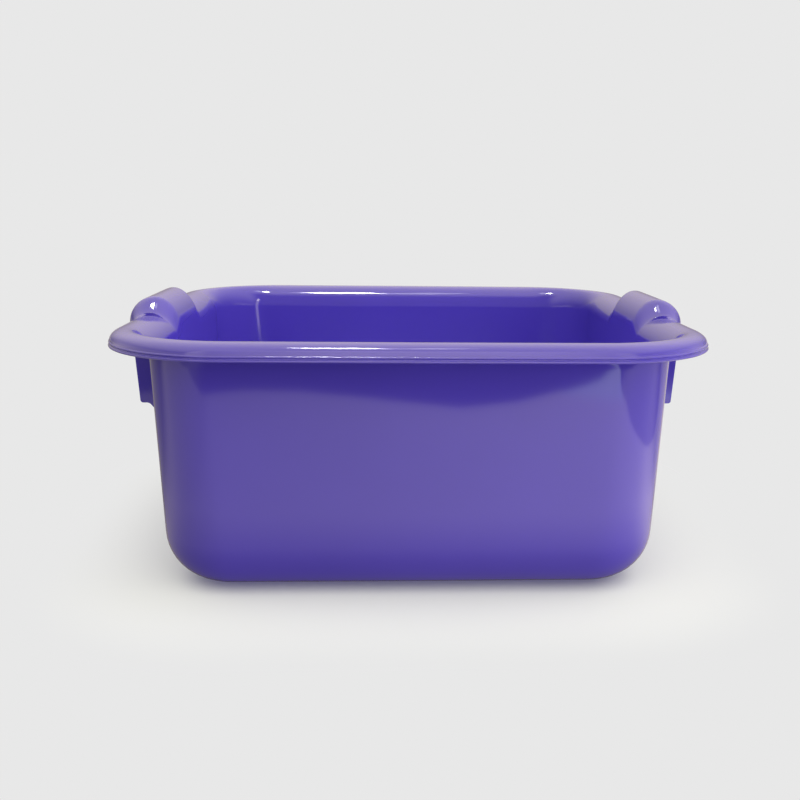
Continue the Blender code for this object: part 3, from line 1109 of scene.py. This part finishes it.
TO_SIDES = Fade(Measure.ASIDE, 0.40, 0.80, 0.0, 1.0)
TO_MIDDLE = Fade(Measure.ASIDE, 0.40, 0.80, 1.0, 0.0)
BELOW_TOP = Fade(Measure.UP, 0.60, 0.90, 1.0, 0.0)
FROM_RIGHT = Fade(Measure.ACROSS, -1.0, 1.0, 0.45, 1.50, eased=False)


@dataclass(frozen=True)
class Surroundings:
    """Surroundings by direction, apart for the camera, the gloss and the soft light.

    The gloss mirrors a warm bright ceiling that dims towards the back horizon and, in
    front, is dark below 65 degrees. To the left and right it stays bright down to the
    horizon. The soft light is even, a little stronger from the right.
    """

    backdrop: str = "#E8E8E8"
    warmth: tuple = (1.0, 0.88, 0.80)
    ceiling: tuple = (
        (Fade(Measure.UP, 0.05, 0.60, 0.45, 2.10, eased=False), TO_MIDDLE, BELOW_TOP),
        (Fade(Measure.UP, 0.16, 0.68, 0.25, 2.20, eased=False), TO_SIDES, BELOW_TOP),
        (Fade(Measure.UP, 0.60, 0.90, 0.0, 2.70),),
    )
    front: float = 0.50
    open_back: Fade = Fade(Measure.BACK, -0.58, -0.24, 0.0, 1.0)
    open_aside: Fade = Fade(Measure.ASIDE, 0.25, 0.55, 0.0, 1.0)
    soft: tuple = (
        (Fade(Measure.UP, -0.1, 0.1, 0.25, 1.00), FROM_RIGHT),
        (Fade(Measure.UP, -0.9, -0.3, 0.60, 0.0), FROM_RIGHT),
    )

    def add(self) -> None:
        """Set up the world."""
        world = bpy.data.worlds.new("studio_air")
        bpy.context.scene.world = world
        world.use_nodes = True
        tree = world.node_tree
        way = add_node(tree, "ShaderNodeTexCoord").outputs["Generated"]
        openings = (self.open_back, self.open_aside)
        shares = [brightness(tree, way, ((opening,),)) for opening in openings]
        inputs = {0: fold(tree, "MAXIMUM", *shares), 2: self.front}
        inputs[3] = brightness(tree, way, self.ceiling)
        glossy = add_node(tree, "ShaderNodeMix", data_type="FLOAT", inputs=inputs).outputs[0]
        inputs = {0: self.warmth, "Scale": glossy}
        warm = add_node(tree, "ShaderNodeVectorMath", operation="SCALE", inputs=inputs)
        path = add_node(tree, "ShaderNodeLightPath").outputs
        colour = brightness(tree, way, self.soft)
        for ray, other in (
            ("Is Glossy Ray", warm.outputs[0]),
            ("Is Camera Ray", linear(self.backdrop)),
        ):
            inputs = {0: path[ray], 6: colour, 7: other}
            colour = add_node(tree, "ShaderNodeMix", data_type="RGBA", inputs=inputs).outputs[2]
        tree.links.new(colour, tree.nodes["Background"].inputs["Color"])


@dataclass(frozen=True)
class View:
    """Camera at the photograph's place, with its slight roll and off-centre frame."""

    place: tuple = (-0.0192, -0.7970, 0.2631)
    yaw: float = math.radians(2.9)
    pitch: float = math.radians(13.04)
    roll: float = math.radians(0.69)
    lens: float = 45.70
    sensor_width: float = 36.0
    shift: tuple = (-0.04165, 0.03383)
    clip: tuple = (0.02, 60.0)

    def add(self) -> None:
        """Put the camera into the scene and look through it."""
        camera = bpy.data.cameras.new("camera")
        camera.sensor_width = self.sensor_width
        camera.lens = self.lens
        camera.shift_x, camera.shift_y = self.shift
        camera.clip_start, camera.clip_end = self.clip
        holder = bpy.data.objects.new("camera", camera)
        bpy.context.scene.collection.objects.link(holder)
        turned = Matrix.Rotation(-self.yaw, 3, "Z")
        turned = turned @ Matrix.Rotation(math.pi / 2 - self.pitch, 3, "X")
        turned = turned @ Matrix.Rotation(self.roll, 3, "Z")
        holder.rotation_euler = turned.to_euler()
        holder.location = self.place
        bpy.context.scene.camera = holder


@dataclass
class Studio:
    """Pale paper, cards, lamps, soft surroundings and the camera of the photograph.

    What the gloss mirrors and what lights the colour are set apart, as a photographer does
    with cards and diffusers: the cards and the strip lamp are only mirrored, and the soft
    panels only light.
    """

    pieces: list
    surroundings: Surroundings = Surroundings()
    view: View = View()
    paper: str = "#E4E4D9"
    paper_fade: Fade = Fade(Measure.FOOT, 0.015, 0.150, 0.08, 1.0)

    def build(self) -> None:
        """Set up the floor, the cards, the surroundings, the lamps and the camera."""
        receivers = {}
        for glint, lit in ((Glint.SOFT, self.pieces), (Glint.PAPER, [self.add_floor()])):
            receivers[glint] = bpy.data.collections.new(f"lit_by_{glint.name.lower()}_lamps")
            for piece in lit:
                receivers[glint].objects.link(piece)
        for card in CARDS:
            card.add()
        self.surroundings.add()
        for lamp in LAMPS:
            holder = lamp.add()
            if lamp.glint in receivers:
                holder.light_linking.receiver_collection = receivers[lamp.glint]
        self.view.add()
        settings = bpy.context.scene.view_settings
        settings.view_transform = "Standard"
        settings.look = "None"

    def add_floor(self) -> bpy.types.Object:
        """Matt paper round the basin that runs out into an evenly lit backdrop.

        Returns:
            The floor.
        """
        floor, tree = add_sheet("floor", level(HORIZON, 0.0), "pale_paper")
        floor.visible_diffuse = False
        floor.visible_glossy = False
        place = add_node(tree, "ShaderNodeTexCoord").outputs["Object"]
        away = brightness(tree, place, ((self.paper_fade,),))
        matt = add_node(tree, "ShaderNodeBsdfDiffuse", inputs={0: linear(self.paper)})
        backdrop = linear(self.surroundings.backdrop)
        lit = add_node(tree, "ShaderNodeEmission", inputs={0: backdrop})
        inputs = {0: away, 1: matt.outputs[0], 2: lit.outputs[0]}
        mix = add_node(tree, "ShaderNodeMixShader", inputs=inputs)
        add_node(tree, "ShaderNodeOutputMaterial", inputs={0: mix.outputs[0]})
        return floor


def main() -> None:
    """Build the basin and its studio."""
    logging.basicConfig(level=logging.INFO, format="%(name)s: %(message)s")
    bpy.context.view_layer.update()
    plastic = GlossyPolypropylene().make()
    moulding = Moulding()
    shell = moulding.build(plastic)
    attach(shell, "root")
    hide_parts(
        "floor_panel",
        "foot_ring",
        "front_wall",
        "right_wall",
        "back_wall",
        "left_wall",
        "front_rim",
        "back_rim",
        "left_grip",
        "right_grip",
    )
    LOG.info("%s: %d faces", shell.name, len(shell.data.polygons))
    webs = Webs(moulding).build(plastic)
    for web in webs:
        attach(web, "root")
        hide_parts(web.name.removesuffix("_skin"))
        LOG.info("%s: %d faces", web.name, len(web.data.polygons))
    Studio([shell, *webs]).build()


if __name__ == "__main__":
    main()
